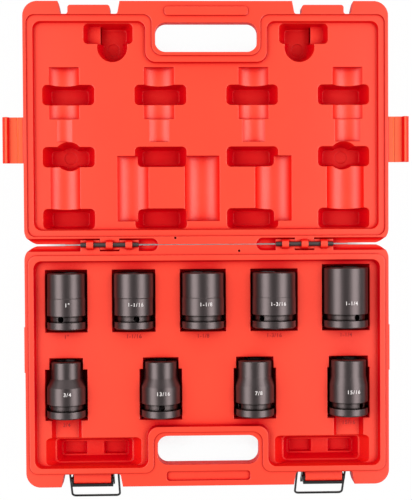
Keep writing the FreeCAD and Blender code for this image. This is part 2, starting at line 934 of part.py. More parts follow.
def make_lid(places):
    """Upper half of the case, with wells, troughs, handle, knuckles, tabs and flap ledges."""
    panel = panel_tool(LID, "lid_panel", "0", "overcut", "overcut + lid_recess", "panel_run")
    rebate = panel_tool(LID, "lid_rebate", "rebate_width", "overcut", "overcut + rebate_depth", "0")
    key = frustum(
        "key_rib",
        ("-key_width / 2", "key_width / 2"),
        span(LID, "key_reach - key_length / 2", "key_reach + key_length / 2"),
        "key_height - rim_gap",
        "key_height + overcut",
        "0",
        "0",
        corner="key_length / 3",
    )
    ledges = []
    fronts = []
    for label, hand in SIDES:
        edge = ("case_width / 2 - skin", "case_width / 2 + ledge_length")
        if hand < 0:
            edge = tuple(f"-({limit})" for limit in reversed(edge))
        reach = span(LID, "flap_reach - flap_width / 2", "flap_reach + flap_width / 2")
        rise = ("-ledge_drop - flap_thickness", "-ledge_drop")
        ledges.append(block(f"flap_ledge_{label}", edge, reach, rise))
        middle = f"{hand} * (case_width / 2 - latch_inset)"
        tab = (f"{middle} - notch_half + overcut", f"{middle} + notch_half - overcut")
        front = span(LID, "case_reach - lid_tab_setback", "case_reach + overcut")
        fronts.append(block(f"lid_tab_{label}", tab, front, ("-lid_flange - overcut", "overcut")))
    tools = [panel, rebate] + lid_wells("well") + trough_tools(places, "trough") + fronts
    tools += latch_notches(LID, "lid_notch", "lid_tab_half")
    walls = lid_wells("well_wall", grow="skin") + trough_tools(places, "trough_wall", grow="skin")
    tab_front = size("case_reach - lid_tab_setback")
    softened = [(upright_at(tab_front), "lid_tab_radius")]
    finish_piece(
        shell(LID, "case_lid_solid", "lid_depth", "lid_flange", [key] + ledges, tools, walls, softened),
        "case_lid",
    )


# Hardware


def make_hinge_pin(label, hand):
    """Steel rod with eased ends through the three knuckles of one hinge."""
    body = doc.addObject("PartDesign::Body", f"hinge_pin_{label}_body")
    half = "(3 * knuckle_width - knuckle_gap) / 2"
    radius = "hinge_pin_diameter / 2"
    ease = "hinge_pin_diameter / 10"
    outline = new_sketch(body, f"hinge_pin_{label}_outline", "XY_Plane")
    draw_outline(
        outline,
        [
            (f"-({half})", "0"),
            (half, "0"),
            (half, f"{radius} - {ease}"),
            (f"{half} - {ease}", radius),
            (f"-({half} - {ease})", radius),
            (f"-({half})", f"{radius} - {ease}"),
        ],
    )
    turned(body, outline, f"hinge_pin_{label}_turn", "H_Axis")
    body.Placement.Base = FreeCAD.Vector(hand * size("case_width / 2 - hinge_inset"), 0, 0)
    finish_piece(body, f"hinge_pin_{label}")


def turned(body, outline, name, axis):
    """Turns a sketch about one of its own axes."""
    turn = body.newObject("PartDesign::Revolution", name)
    turn.Profile = outline
    turn.ReferenceAxis = (outline, [axis])
    turn.Angle = 360
    doc.recompute()


def make_rivet(label, hand):
    """Rivet that a latch lever turns on, headed at both ends."""
    body = doc.addObject("PartDesign::Body", f"latch_pin_{label}_body")
    grip = "base_tab_half + lever_clearance + lever_sheet + lever_gap / 2"
    end = f"{grip} + rivet_head_height"
    radius, head = "rivet_diameter / 2", "rivet_head / 2"
    outline = new_sketch(body, f"latch_pin_{label}_outline", "XY_Plane")
    draw_outline(
        outline,
        [
            (f"-({end})", "0"),
            (end, "0"),
            (end, f"{head} - rivet_head_height / 2"),
            (f"{grip} + rivet_head_height / 2", head),
            (grip, head),
            (grip, radius),
            (f"-({grip})", radius),
            (f"-({grip})", head),
            (f"-({grip} + rivet_head_height / 2)", head),
            (f"-({end})", f"{head} - rivet_head_height / 2"),
        ],
    )
    turned(body, outline, f"latch_pin_{label}_turn", "H_Axis")
    x = hand * size("case_width / 2 - latch_inset")
    body.Placement.Base = FreeCAD.Vector(x, -size("case_reach - lever_setback"), -size("lever_drop"))
    finish_piece(body, f"latch_pin_{label}")


def make_lever(label, hand):
    """Folded steel lever: a face plate with a finger lip and two ears beside the tab.

    It is drawn about its rivet. In its side view x points out of the case and y points up.
    """
    body = doc.addObject("PartDesign::Body", f"latch_lever_{label}_body")
    inner = "tab_nose_radius + lever_gap"
    outer = f"{inner} + lever_sheet"
    roll = f"{inner} + lever_roll"
    top = "lever_sheet"
    end = "-lever_length"
    bail_in, bail_down = "bail_setback - lever_setback", "bail_drop - lever_drop"
    side = new_sketch(body, f"latch_lever_{label}_side", "YZ_Plane")
    draw_outline(
        side,
        [
            (f"-({inner})", top),
            (f"-({roll})", top),
            (f"-({roll})", f"{top} - lever_roll"),
            (f"-({outer})", f"{top} - lever_roll - lever_sheet"),
            (f"-({outer})", f"{end} + lever_roll"),
            (f"-({outer} + 2 * lever_roll)", f"{end} - lever_roll / 2"),
            (f"-({outer} + lever_roll)", f"{end} - lever_roll"),
            (f"-({inner})", f"{end} + lever_roll / 2"),
            (bail_in, f"-({bail_down}) - ear_radius * 0.8"),
            (f"{bail_in} + ear_radius * 0.8", f"-({bail_down})"),
            ("ear_radius", "-ear_radius"),
            ("ear_radius", "ear_radius / 2"),
            ("ear_radius / 2", "ear_radius"),
            ("-ear_radius / 2", "ear_radius"),
        ],
    )
    pad = body.newObject("PartDesign::Pad", f"latch_lever_{label}_sheet")
    pad.Profile = side
    pad.Midplane = True
    bind(pad, Length="2 * (base_tab_half + lever_clearance + lever_sheet)")
    doc.recompute()
    inside = new_sketch(body, f"latch_lever_{label}_inside", "YZ_Plane")
    reach = "lever_length * 2"
    back, low = f"-({inner})", f"-({reach})"
    draw_outline(inside, [(back, reach), (back, low), (reach, low), (reach, reach)])
    channel = body.newObject("PartDesign::Pocket", f"latch_lever_{label}_channel")
    channel.Profile = inside
    channel.Midplane = True
    bind(channel, Length="2 * (base_tab_half + lever_clearance)")
    doc.recompute()
    holes = new_sketch(body, f"latch_lever_{label}_holes", "YZ_Plane")
    draw_circle(holes, "0", "0", "rivet_diameter / 2 + rivet_fit")
    draw_circle(holes, bail_in, f"-({bail_down})", "bail_wire / 2 + bail_fit")
    add_pocket(body, holes, f"latch_lever_{label}_bores")
    x = hand * size("case_width / 2 - latch_inset")
    body.Placement.Base = FreeCAD.Vector(x, -size("case_reach - lever_setback"), -size("lever_drop"))
    finish_piece(body, f"latch_lever_{label}")


def bail_reach():
    """Length of a bail's arms and its two angles above level: lying on the table and hooked."""
    up = size("bail_drop + lid_flange + catch_gap + bail_wire / 2")
    out = size("bail_setback - catch_setback")
    arm = math.hypot(up, out)
    fall = size("base_depth - bail_drop - bail_wire / 2 - catch_gap")
    return arm, -math.degrees(math.asin(fall / arm)), math.degrees(math.atan2(up, out))


def make_bail(label, hand):
    """Wire bail: a U with its two ends bent inwards through the lever's ears."""
    arm, lying, _ = bail_reach()
    half, bend = size("bail_half"), size("bail_bend")
    end = size("base_tab_half + lever_clearance - lever_gap / 2")
    small = size("bail_wire")
    right = [(half, arm, bend), (half, 0, small), (end, 0, 0)]
    corners = [(-x, y, radius) for x, y, radius in reversed(right)] + right
    edges = []
    start = FreeCAD.Vector(corners[0][0], corners[0][1], 0)
    for before, corner, after in zip(corners, corners[1:], corners[2:]):
        spot = FreeCAD.Vector(corner[0], corner[1], 0)
        back = (FreeCAD.Vector(before[0], before[1], 0) - spot).normalize()
        ahead = (FreeCAD.Vector(after[0], after[1], 0) - spot).normalize()
        radius = corner[2]
        enter, leave = spot + back * radius, spot + ahead * radius
        hub = spot + (back + ahead) * radius
        crown = hub + (spot - hub).normalize() * radius
        edges.append(Part.LineSegment(start, enter).toShape())
        edges.append(Part.Arc(enter, crown, leave).toShape())
        start = leave
    edges.append(Part.LineSegment(start, FreeCAD.Vector(corners[-1][0], corners[-1][1], 0)).toShape())
    route = doc.addObject("Part::Feature", f"latch_bail_{label}_route")
    route.Shape = Part.Wire(edges)
    section = doc.addObject("Part::Circle", f"latch_bail_{label}_section")
    bind(section, Radius="bail_wire / 2")
    section.Placement = FreeCAD.Placement(FreeCAD.Vector(-end, 0, 0), FreeCAD.Rotation(Y_AXIS, 90))
    wire = doc.addObject("Part::Sweep", f"latch_bail_{label}_wire")
    wire.Sections = [section]
    wire.Spine = (route, [f"Edge{i + 1}" for i in range(len(edges))])
    wire.Solid = True
    x = hand * size("case_width / 2 - latch_inset")
    wire.Placement = FreeCAD.Placement(
        FreeCAD.Vector(x, -size("case_reach - bail_setback"), -size("bail_drop")),
        FreeCAD.Rotation(X_AXIS, 180 - lying),
    )
    finish_piece(wire, f"latch_bail_{label}")


def make_flap(label, hand):
    """Side flap: a thin web, a plate, and a hook that snaps under the base's side catch."""
    body = doc.addObject("PartDesign::Body", f"side_flap_{label}_body")
    steps = ["0"]
    for step in ("web_length", "flap_panel", "hook_length", "lip_length"):
        steps.append(f"{steps[-1]} + {step}")
    web, plate, hook, lip = steps[1:]
    thin, thick = "web_thickness / 2", "flap_thickness / 2"
    points = [
        ("0", f"-{thin}"),
        (web, f"-{thin}"),
        (web, f"-{thick}"),
        (lip, f"-{thick}"),
        (lip, f"{thick} + hook_height / 3"),
        (hook, f"{thick} + hook_height"),
        (f"{plate} + hook_length / 2", f"{thick} + hook_height"),
        (plate, thick),
        (web, thick),
        (web, thin),
        ("0", thin),
    ]
    side = new_sketch(body, f"side_flap_{label}_side", "XZ_Plane")
    draw_outline(side, [(f"{hand} * ({x})" if x != "0" else "0", z) for x, z in points])
    pad = body.newObject("PartDesign::Pad", f"side_flap_{label}_plate")
    pad.Profile = side
    pad.Midplane = True
    bind(pad, Length="flap_width")
    doc.recompute()
    x = hand * size("case_width / 2 + ledge_length + flap_gap")
    z = -size("ledge_drop + flap_thickness / 2")
    body.Placement.Base = FreeCAD.Vector(x, size("flap_reach"), z)
    finish_piece(body, f"side_flap_{label}")


# Sockets


def make_socket(key, label, x, end):
    """One impact socket, drawn with its drive end at y = 0 and its nose towards +Y."""
    body = doc.addObject("PartDesign::Body", f"{label}_body")
    length, ease = f"{key}_length", "end_chamfer"
    wide, nose = f"{key}_body / 2", f"{key}_nose / 2"
    slope = "flare_length" if key in [k for k, _ in LOWER_ROW] else "step_length"
    floor = f"{wide} - groove_depth"
    outline = new_sketch(body, f"{label}_outline", "XY_Plane")
    points = [
        ("0", "0"),
        (f"{wide} - {ease}", "0"),
        (wide, ease),
        (wide, "groove_start"),
        (floor, "groove_start"),
        (floor, "groove_start + groove_width"),
        (wide, "groove_start + groove_width"),
        (wide, "body_length"),
        (nose, f"body_length + {slope}"),
        (nose, f"{length} - {ease}"),
        (f"{nose} - {ease}", length),
        ("0", length),
    ]
    draw_outline(outline, points)
    turned(body, outline, f"{label}_turn", "V_Axis")
    drive = new_sketch(body, f"{label}_drive", "XZ_Plane")
    half = "drive_square / 2"
    draw_outline(drive, [(f"-{half}", f"-{half}"), (half, f"-{half}"), (half, half), (f"-{half}", half)])
    add_pocket(body, drive, f"{label}_drive_square", "drive_depth")
    hexagon = new_sketch(body, f"{label}_hexagon", "XZ_Plane", offset=f"-{length}")
    across = f"{key}_hex"
    tip, flat = f"{across} / sqrt(3)", f"{across} / 2"
    draw_outline(
        hexagon,
        [
            (tip, "0"),
            (f"{tip} / 2", flat),
            (f"-{tip} / 2", flat),
            (f"-{tip}", "0"),
            (f"-{tip} / 2", f"-{flat}"),
            (f"{tip} / 2", f"-{flat}"),
        ],
    )
    add_pocket(body, hexagon, f"{label}_hex_mouth", "hex_depth", reverse=True)
    relief = new_sketch(body, f"{label}_relief", "XZ_Plane")
    draw_circle(relief, "0", "0", "relief_diameter / 2")
    add_pocket(body, relief, f"{label}_relief_bore", length)
    cross = new_sketch(body, f"{label}_cross", "XY_Plane")
    draw_circle(cross, "0", "groove_start + groove_width / 2", "cross_hole / 2")
    add_pocket(body, cross, f"{label}_cross_hole")
    body.Placement = FreeCAD.Placement(
        FreeCAD.Vector(size(x), -size(end), -size("axis_drop")),
        FreeCAD.Rotation(Y_AXIS, size(f"{key}_turn")),
    )
    finish_piece(body, label)


def write_pieces():
    """Checks the whole document, then writes each piece to its own file."""
    doc.recompute()
    broken = [thing.Label for thing in doc.Objects if "Invalid" in thing.State or "Error" in thing.State]
    for piece in pieces:
        if piece.Shape.isNull() or not piece.Shape.isValid() or len(piece.Shape.Solids) != 1:
            broken.append(f"{piece.Label}: {len(piece.Shape.Solids)} solids")
    if broken:
        raise RuntimeError(f"not sound: {broken}")
    os.makedirs("parts", exist_ok=True)
    for piece in pieces:
        piece.Shape.exportStep(f"parts/{piece.Label}.step")
        print(f"{piece.Label}: {piece.Shape.Volume / 1000:.1f} cm3")


def main():
    """Builds every piece of the set."""
    fill_sheet()
    places = row_places()
    make_base(places)
    make_lid(places)
    for label, hand in SIDES:
        make_hinge_pin(label, hand)
        make_rivet(label, hand)
        make_lever(label, hand)
        make_bail(label, hand)
        make_flap(label, hand)
    for row, end in ((UPPER_ROW, "upper_row_end"), (LOWER_ROW, "lower_row_end")):
        for key, label in row:
            make_socket(key, label, places[key], end)
    write_pieces()


main()
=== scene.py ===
"""Looks of an impact socket set lying in its open, blow-moulded case.

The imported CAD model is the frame: its pieces keep their shape and get real finishes here. What the solids
leave out is added: etched and moulded size numerals, and the thin webs that the side flaps fold on.
All sizes are in millimetres unless a name says otherwise; the row frame is in metres.
"""

import json
import logging
import math
from dataclasses import dataclass
from enum import Enum
from typing import Any, Mapping, Sequence

import bmesh
import bpy
from mathutils import Euler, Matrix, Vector


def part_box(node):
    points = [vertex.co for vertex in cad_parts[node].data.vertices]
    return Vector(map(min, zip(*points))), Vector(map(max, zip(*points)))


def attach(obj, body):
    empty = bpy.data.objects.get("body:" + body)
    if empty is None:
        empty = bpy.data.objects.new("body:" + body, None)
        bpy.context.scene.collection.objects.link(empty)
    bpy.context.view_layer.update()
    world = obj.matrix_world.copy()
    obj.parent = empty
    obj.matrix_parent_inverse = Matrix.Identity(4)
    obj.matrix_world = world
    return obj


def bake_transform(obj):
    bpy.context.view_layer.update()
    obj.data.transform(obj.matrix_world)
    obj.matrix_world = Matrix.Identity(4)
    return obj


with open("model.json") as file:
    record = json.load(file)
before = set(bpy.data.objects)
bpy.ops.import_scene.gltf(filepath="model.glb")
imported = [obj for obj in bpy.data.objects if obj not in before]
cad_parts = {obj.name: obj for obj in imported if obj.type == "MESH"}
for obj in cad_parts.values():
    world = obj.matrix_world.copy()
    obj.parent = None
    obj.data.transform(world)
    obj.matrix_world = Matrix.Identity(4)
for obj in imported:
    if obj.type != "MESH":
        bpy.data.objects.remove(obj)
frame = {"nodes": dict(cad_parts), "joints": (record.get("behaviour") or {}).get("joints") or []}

log = logging.getLogger("socket_set")

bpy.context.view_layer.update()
MM = 0.001
PHOTO_WIDTH_PX = 412
PHOTO_HEIGHT_PX = 500
SENSOR = 36.0

# Height of a digit as a share of the font's size, and the steps in each of its curves.
DIGIT_SHARE = 0.7
DIGIT_CURVE_STEPS = 4
# A mix node's colour sockets go by index, because their names repeat for every kind of data.
MIX_SHARE = 0
MIX_FIRST = 6
MIX_SECOND = 7
MIX_RESULT = 2

Socket = bpy.types.NodeSocket
Tree = bpy.types.NodeTree
Span = tuple[float, float]
Span3 = tuple[float, float, float]


def linear(hex_colour: str) -> tuple[float, float, float, float]:
    """Turns an sRGB hex colour into linear light.

    Args:
        hex_colour: six hex digits.

    Returns:
        Red, green, blue and an alpha of 1.
    """
    parts = [int(hex_colour[i:i + 2], 16) / 255 for i in (0, 2, 4)]
    light = [c / 12.92 if c <= 0.04045 else ((c + 0.055) / 1.055) ** 2.4 for c in parts]
    return light[0], light[1], light[2], 1.0


def add_node(
    tree: Tree,
    kind: str,
    settings: Mapping[str, Any] | None = None,
    values: Mapping[str | int, Any] | None = None,
    links: Mapping[str | int, Socket] | None = None,
) -> bpy.types.Node:
    """Adds a node with its settings, its inputs' values and what is linked to them.

    Args:
        tree: node tree that gets the node.
        kind: Blender's name for the node type.
        settings: attributes of the node itself.
        values: default values by input name or index.
        links: sockets to link by input name or index.

    Returns:
        The new node.
    """
    node = tree.nodes.new(kind)
    for name, setting in (settings or {}).items():
        setattr(node, name, setting)
    for name, value in (values or {}).items():
        node.inputs[name].default_value = value
    for name, socket in (links or {}).items():
        tree.links.new(socket, node.inputs[name])
    return node


def new_material(name: str) -> tuple[bpy.types.Material, Tree]:
    """Makes an empty node material.

    Args:
        name: the material's name.

    Returns:
        The material and its node tree.
    """
    material = bpy.data.materials.new(name)
    material.use_nodes = True
    material.node_tree.nodes.clear()
    return material, material.node_tree


def per_metre(pattern_mm: float) -> float:
    """Scale of a texture whose features are this many millimetres apart."""
    return 1.0 / (pattern_mm * MM)


def noise(tree: Tree, place: Socket, pattern_mm: float, octaves: float) -> Socket:
    """Adds a noise pattern.

    Args:
        tree: node tree.
        place: coordinates in metres.
        pattern_mm: distance between features.
        octaves: layers of finer noise.

    Returns:
        The pattern, from 0 to 1.
    """
    pattern = {"Scale": per_metre(pattern_mm), "Detail": octaves}
    return add_node(tree, "ShaderNodeTexNoise", values=pattern, links={"Vector": place}).outputs["Fac"]


def stretched(tree: Tree, place: Socket, scale: Span3) -> Socket:
    """Stretches coordinates, so that a pattern runs along an axis."""
    node = add_node(tree, "ShaderNodeMapping", values={"Scale": scale}, links={"Vector": place})
    return node.outputs["Vector"]


def ramp(tree: Tree, value: Socket, source: Span = (0.0, 1.0), target: Span = (0.0, 1.0)) -> Socket:
    """Maps one range onto another and holds it at the ends.

    Args:
        tree: node tree.
        value: what is mapped.
        source: range of the value, which may run downwards.
        target: range of the result.

    Returns:
        The result.
    """
    limits = {"From Min": source[0], "From Max": source[1], "To Min": target[0], "To Max": target[1]}
    return add_node(tree, "ShaderNodeMapRange", values=limits, links={"Value": value}).outputs["Result"]


def combined(tree: Tree, operation: str, first: Socket, second: Socket | float = 0.0) -> Socket:
    """Combines two numbers.

    Args:
        tree: node tree.
        operation: Blender's name for the operation.
        first: the first number.
        second: the second number, where the operation takes one.

    Returns:
        The result.
    """
    node = add_node(tree, "ShaderNodeMath", settings={"operation": operation}, links={0: first})
    if isinstance(second, float):
        node.inputs[1].default_value = second
    else:
        tree.links.new(second, node.inputs[1])
    return node.outputs["Value"]


def mixed(tree: Tree, share: Socket, first: Socket | str, second: str) -> Socket:
    """Mixes a colour into another one.

    Args:
        tree: node tree.
        share: how much of the second colour there is.
        first: a colour, as sRGB hex or from another node.
        second: the colour that is mixed in, as sRGB hex.

    Returns:
        The mixed colour.
    """
    node = add_node(
        tree,
        "ShaderNodeMix",
        settings={"data_type": "RGBA"},
        values={MIX_SECOND: linear(second)},
        links={MIX_SHARE: share},
    )
    if isinstance(first, str):
        node.inputs[MIX_FIRST].default_value = linear(first)
    else:
        tree.links.new(first, node.inputs[MIX_FIRST])
    return node.outputs[MIX_RESULT]


def openness(tree: Tree, reach_mm: float, samples: int) -> Socket:
    """Adds how open a spot is: 1 on a bare flat, less in hollows and corners.

    Args:
        tree: node tree.
        reach_mm: how far away a wall still counts.
        samples: rays that are tried.

    Returns:
        The openness.
    """
    reach = {"Distance": reach_mm * MM}
    node = add_node(tree, "ShaderNodeAmbientOcclusion", settings={"samples": samples}, values=reach)
    return node.outputs["AO"]


def soft_edges(tree: Tree, radius_mm: float, samples: int) -> Socket:
    """Adds normals that round every edge a little.

    Args:
        tree: node tree.
        radius_mm: radius of the edges.
        samples: rays that are tried.

    Returns:
        The normals.
    """
    radius = {"Radius": radius_mm * MM}
    return add_node(tree, "ShaderNodeBevel", settings={"samples": samples}, values=radius).outputs["Normal"]


def bumped(tree: Tree, height: Socket, normal: Socket, depth_mm: float, strength: float) -> Socket:
    """Adds fine relief to normals.

    Args:
        tree: node tree.
        height: pattern of the relief.
        normal: the normals below it.
        depth_mm: depth of the relief.
        strength: how much of it shows.

    Returns:
        The normals.
    """
    relief = {"Strength": strength, "Distance": depth_mm * MM}
    node = add_node(tree, "ShaderNodeBump", values=relief, links={"Height": height, "Normal": normal})
    return node.outputs["Normal"]


def coat(tree: Tree, values: Mapping[str, Any], links: Mapping[str, Socket]) -> None:
    """Ends a material with its surface shader.

    Args:
        tree: node tree.
        values: the shader's constant inputs.
        links: the shader's varying inputs.
    """
    shader = add_node(tree, "ShaderNodeBsdfPrincipled", values=values, links=links)
    add_node(tree, "ShaderNodeOutputMaterial", links={"Surface": shader.outputs["BSDF"]})


@dataclass(frozen=True)
class MouldedPolyethylene:
    """Blow-moulded high-density polyethylene: a waxy satin skin, coloured right through.

    To the eye it is one strong red with a soft broad sheen, faint clouding where the melt flowed, and edges
    that are never sharp because the parison doesn't fill a corner. Walls that slope sharply get painted
    shade, a purer and darker red with less gloss than the flats. Hollows get painted shade too: they are
    coloured crimson and lose gloss, for the light that arrives there only off other red walls. The
    single-walled ledges and flaps outside the case's sides let light through, so they look more orange.
    """

    name: str = "blow_moulded_polyethylene"
    colour: str = "F54123"
    clouded: str = "EE381E"
    thin: str = "F8521E"
    # Purer, darker red that paints shade on walls that slope sharply.
    painted_wall_shade: str = "EC1A10"
    # Crimson that paints shade in hollows.
    painted_hollow_shade: str = "CC0012"
    thin_from_mm: float = 200.8
    steep_slopes: Span = (0.9, 0.7)
    hollow_mm: float = 32.0
    hollow_openness: Span = (0.88, 0.52)
    hollow_rays: int = 6
    cloud_mm: float = 70.0
    cloud_octaves: float = 3.0
    grain_mm: float = 1.6
    grain_octaves: float = 2.0
    grain_depth_mm: float = 0.05
    grain_strength: float = 0.12
    edge_mm: float = 1.4
    edge_rays: int = 8
    roughness: Span = (0.35, 0.45)
    gloss: float = 0.58
    # Gloss where the painted shade is full, so shaded walls and hollows show little reflection.
    painted_shade_gloss: float = 0.03
    ior: float = 1.54

    def material(self) -> bpy.types.Material:
        """Builds the node material.

        Returns:
            The material.
        """
        material, tree = new_material(self.name)
        surface = add_node(tree, "ShaderNodeTexCoord")
        place = surface.outputs["Object"]
        cloud = noise(tree, place, self.cloud_mm, self.cloud_octaves)
        colour = mixed(tree, cloud, self.colour, self.clouded)
        spot = add_node(tree, "ShaderNodeSeparateXYZ", links={"Vector": place})
        aside = combined(tree, "ABSOLUTE", spot.outputs["X"])
        outside = combined(tree, "GREATER_THAN", aside, self.thin_from_mm * MM)
        colour = mixed(tree, outside, colour, self.thin)
        facing = add_node(tree, "ShaderNodeSeparateXYZ", links={"Vector": surface.outputs["Normal"]})
        # Painted shade: faces that slope sharply turn a purer, darker red.
        steep = ramp(tree, combined(tree, "ABSOLUTE", facing.outputs["Z"]), self.steep_slopes)
        colour = mixed(tree, steep, colour, self.painted_wall_shade)
        # Painted shade: hollows, found by how hemmed in each spot is, turn crimson.
        hollow = ramp(tree, openness(tree, self.hollow_mm, self.hollow_rays), self.hollow_openness)
        colour = mixed(tree, hollow, colour, self.painted_hollow_shade)
        grain = noise(tree, place, self.grain_mm, self.grain_octaves)
        # Share of painted shade, from walls that slope sharply and from hollows; it also takes gloss away.
        painted_shade_share = combined(tree, "MAXIMUM", hollow, steep)
        edges = soft_edges(tree, self.edge_mm, self.edge_rays)
        coat(
            tree,
            {"IOR": self.ior},
            {
                "Base Color": colour,
                "Roughness": ramp(tree, grain, target=self.roughness),
                "Specular IOR Level": ramp(tree, painted_shade_share, target=(self.gloss, self.painted_shade_gloss)),
                "Normal": bumped(tree, grain, edges, self.grain_depth_mm, self.grain_strength),
            },
        )
        return material


@dataclass(frozen=True)
class PhosphatedSteel:
    """Forged chrome-molybdenum steel with a black manganese phosphate coat under oil.

    To the eye it is a warm near-black metal: turned surfaces give long soft reflections, fine lathe marks
    run round the axis, and rims where the coat has rubbed are a little lighter. The grooves get painted
    shade, a near-black for the light that hardly gets into them.
    """

    name: str = "black_phosphated_steel"
    colour: str = "5A5151"
    rubbed: str = "8C8280"
    # Near-black painted into the grooves as shade.
    painted_groove_shade: str = "1C1716"
    groove_mm: float = 5.0
    groove_openness: Span = (0.9, 0.65)
    groove_rays: int = 6
    rim_flatness: Span = (0.985, 0.9)
    rim_wear: Span = (0.0, 0.6)
    crystal_mm: float = 1.2
    crystal_octaves: float = 4.0
    # The lathe marks vary along the sockets' axes only, which lie along Y.
    turning_stretch: Span3 = (0.02, 1.0, 0.02)
    turning_mm: float = 1.4
    turning_octaves: float = 2.0
    turning_depth_mm: float = 0.03
    turning_strength: float = 0.1
    edge_mm: float = 0.5
    edge_rays: int = 6
    roughness: Span = (0.3, 0.44)

    def material(self) -> bpy.types.Material:
        """Builds the node material.

        Returns:
            The material.
        """
        material, tree = new_material(self.name)
        place = add_node(tree, "ShaderNodeTexCoord").outputs["Object"]
        crystal = noise(tree, place, self.crystal_mm, self.crystal_octaves)
        along = stretched(tree, place, self.turning_stretch)
        turning = noise(tree, along, self.turning_mm, self.turning_octaves)
        edges = soft_edges(tree, self.edge_mm, self.edge_rays)
        face = add_node(tree, "ShaderNodeNewGeometry").outputs["Normal"]
        dot = {"operation": "DOT_PRODUCT"}
        flatness = add_node(tree, "ShaderNodeVectorMath", settings=dot, links={0: edges, 1: face})
        wear = ramp(tree, flatness.outputs["Value"], self.rim_flatness, self.rim_wear)
        colour = mixed(tree, wear, self.colour, self.rubbed)
        # Painted shade: spots hemmed in by nearby walls, such as the grooves, darken towards near-black.
        groove = ramp(tree, openness(tree, self.groove_mm, self.groove_rays), self.groove_openness)
        colour = mixed(tree, groove, colour, self.painted_groove_shade)
        coat(
            tree,
            {"Metallic": 1.0},
            {
                "Base Color": colour,
                "Roughness": ramp(tree, crystal, target=self.roughness),
                "Normal": bumped(tree, turning, edges, self.turning_depth_mm, self.turning_strength),
            },
        )
        return material


@dataclass(frozen=True)
class CoatedMetal:
    """Plain steel under its own finish: electrocoated black, or bare and drawn.

    To the eye the electrocoat is a smooth thin black with small sharp glints. Drawn rod is a mid-grey metal
    with fine lines along its length.
    """

    name: str
    colour: str
    streaked: str
    metallic: float
    roughness: Span
    # The wire and rod are drawn lengthwise, and both run mostly along X.
    streak_stretch: Span3 = (0.08, 1.0, 1.0)
    streak_mm: float = 1.2
    streak_octaves: float = 3.0
    edge_mm: float = 0.4
    edge_rays: int = 4

    def material(self) -> bpy.types.Material:
        """Builds the node material.

        Returns:
            The material.
        """
        material, tree = new_material(self.name)
        place = add_node(tree, "ShaderNodeTexCoord").outputs["Object"]
        along = stretched(tree, place, self.streak_stretch)
        streak = noise(tree, along, self.streak_mm, self.streak_octaves)
        coat(
            tree,
            {"Metallic": self.metallic},
            {
                "Base Color": mixed(tree, streak, self.colour, self.streaked),
                "Roughness": ramp(tree, streak, target=self.roughness),
                "Normal": soft_edges(tree, self.edge_mm, self.edge_rays),
            },
        )
        return material


@dataclass(frozen=True)
class EtchedSteel:
    """Laser-etched steel: the coat is burnt off and the bright metal below is left rough.

    To the eye it is a pale, matt grey with slightly uneven strength.
    """

    name: str = "laser_etched_steel"
    colour: str = "F6F0EE"
    faded: str = "D2C9C7"
    patch_mm: float = 2.0
    patch_octaves: float = 2.0
    roughness: float = 0.7

    def material(self) -> bpy.types.Material:
        """Builds the node material.

        Returns:
            The material.
        """
        material, tree = new_material(self.name)
        place = add_node(tree, "ShaderNodeTexCoord").outputs["Object"]
        patch = noise(tree, place, self.patch_mm, self.patch_octaves)
        colour = mixed(tree, patch, self.colour, self.faded)
        coat(tree, {"Metallic": 0.0, "Roughness": self.roughness}, {"Base Color": colour})
        return material


@dataclass(frozen=True)
class StudioPaper:
    """Seamless white paper, lit until it reads as white.

    To the eye the object's shadow stays faint in the open, and dark where the object covers the paper.
    """

    name: str = "white_background_paper"
    colour: str = "F4F4F4"
    glow: float = 0.98
    covered_mm: float = 60.0
    covered_openness: Span = (0.06, 0.16)
    covered_rays: int = 8

    def material(self) -> bpy.types.Material:
        """Builds the node material.

        Returns:
            The material.
        """
        material, tree = new_material(self.name)
        paper = add_node(tree, "ShaderNodeBsdfDiffuse", values={"Color": linear(self.colour)})
        white = add_node(tree, "ShaderNodeEmission", values={"Strength": 1.0})
        ray = add_node(tree, "ShaderNodeLightPath")
        seen = ray.outputs["Is Camera Ray"]
        for other in ("Is Glossy Ray", "Is Transmission Ray"):
            seen = combined(tree, "MAXIMUM", seen, ray.outputs[other])
        sky = openness(tree, self.covered_mm, self.covered_rays)
        open_paper = ramp(tree, sky, self.covered_openness, (0.0, self.glow))
        share = combined(tree, "MULTIPLY", seen, open_paper)
        surfaces = {0: share, 1: paper.outputs["BSDF"], 2: white.outputs["Emission"]}
        mix = add_node(tree, "ShaderNodeMixShader", links=surfaces)
        add_node(tree, "ShaderNodeOutputMaterial", links={"Surface": mix.outputs["Shader"]})
        return material


class Finish(Enum):
    """Finishes of the set's pieces."""

    PLASTIC = MouldedPolyethylene()
    # Light shines through the thin web, so it looks orange.
    WEB = MouldedPolyethylene("thin_polyethylene_web", "FF6A1E", "FB5F18", "FF6A1E", "FF6A1E")
    # A dark film that paints the shade of numerals moulded as narrow grooves, where little light gets in.
    MARK = MouldedPolyethylene("painted_shade_of_narrow_grooves", "7C0806", "700605", "7C0806", "7C0806")
    SOCKET = PhosphatedSteel()
    LATCH = CoatedMetal("black_electrocoated_steel", "080607", "120E0F", 0.0, (0.36, 0.48))
    PIN = CoatedMetal("drawn_steel_rod", "6E6564", "57504F", 1.0, (0.32, 0.44))
    ETCHING = EtchedSteel()


_materials: dict[Finish, bpy.types.Material] = {}


def material_of(finish: Finish) -> bpy.types.Material:
    """Gives a finish's material, made on first use.

    Args:
        finish: the finish.

    Returns:
        Its material.
    """
    if finish not in _materials:
        _materials[finish] = finish.value.material()
    return _materials[finish]


def dress(thing: bpy.types.Object, finish: Finish, smooth_deg: float = 32.0) -> None:
    """Gives a piece its finish and smooth shading with crisp edges.

    Args:
        thing: the piece.
        finish: its finish.
        smooth_deg: faces that meet at less than this angle shade as one surface.
    """
    thing.data.materials.clear()
    thing.data.materials.append(material_of(finish))
    thing.data.polygons.foreach_set("material_index", [0] * len(thing.data.polygons))
    if "custom_normal" not in thing.data.attributes:
        thing.data.shade_smooth()
        thing.data.set_sharp_from_angle(angle=math.radians(smooth_deg))


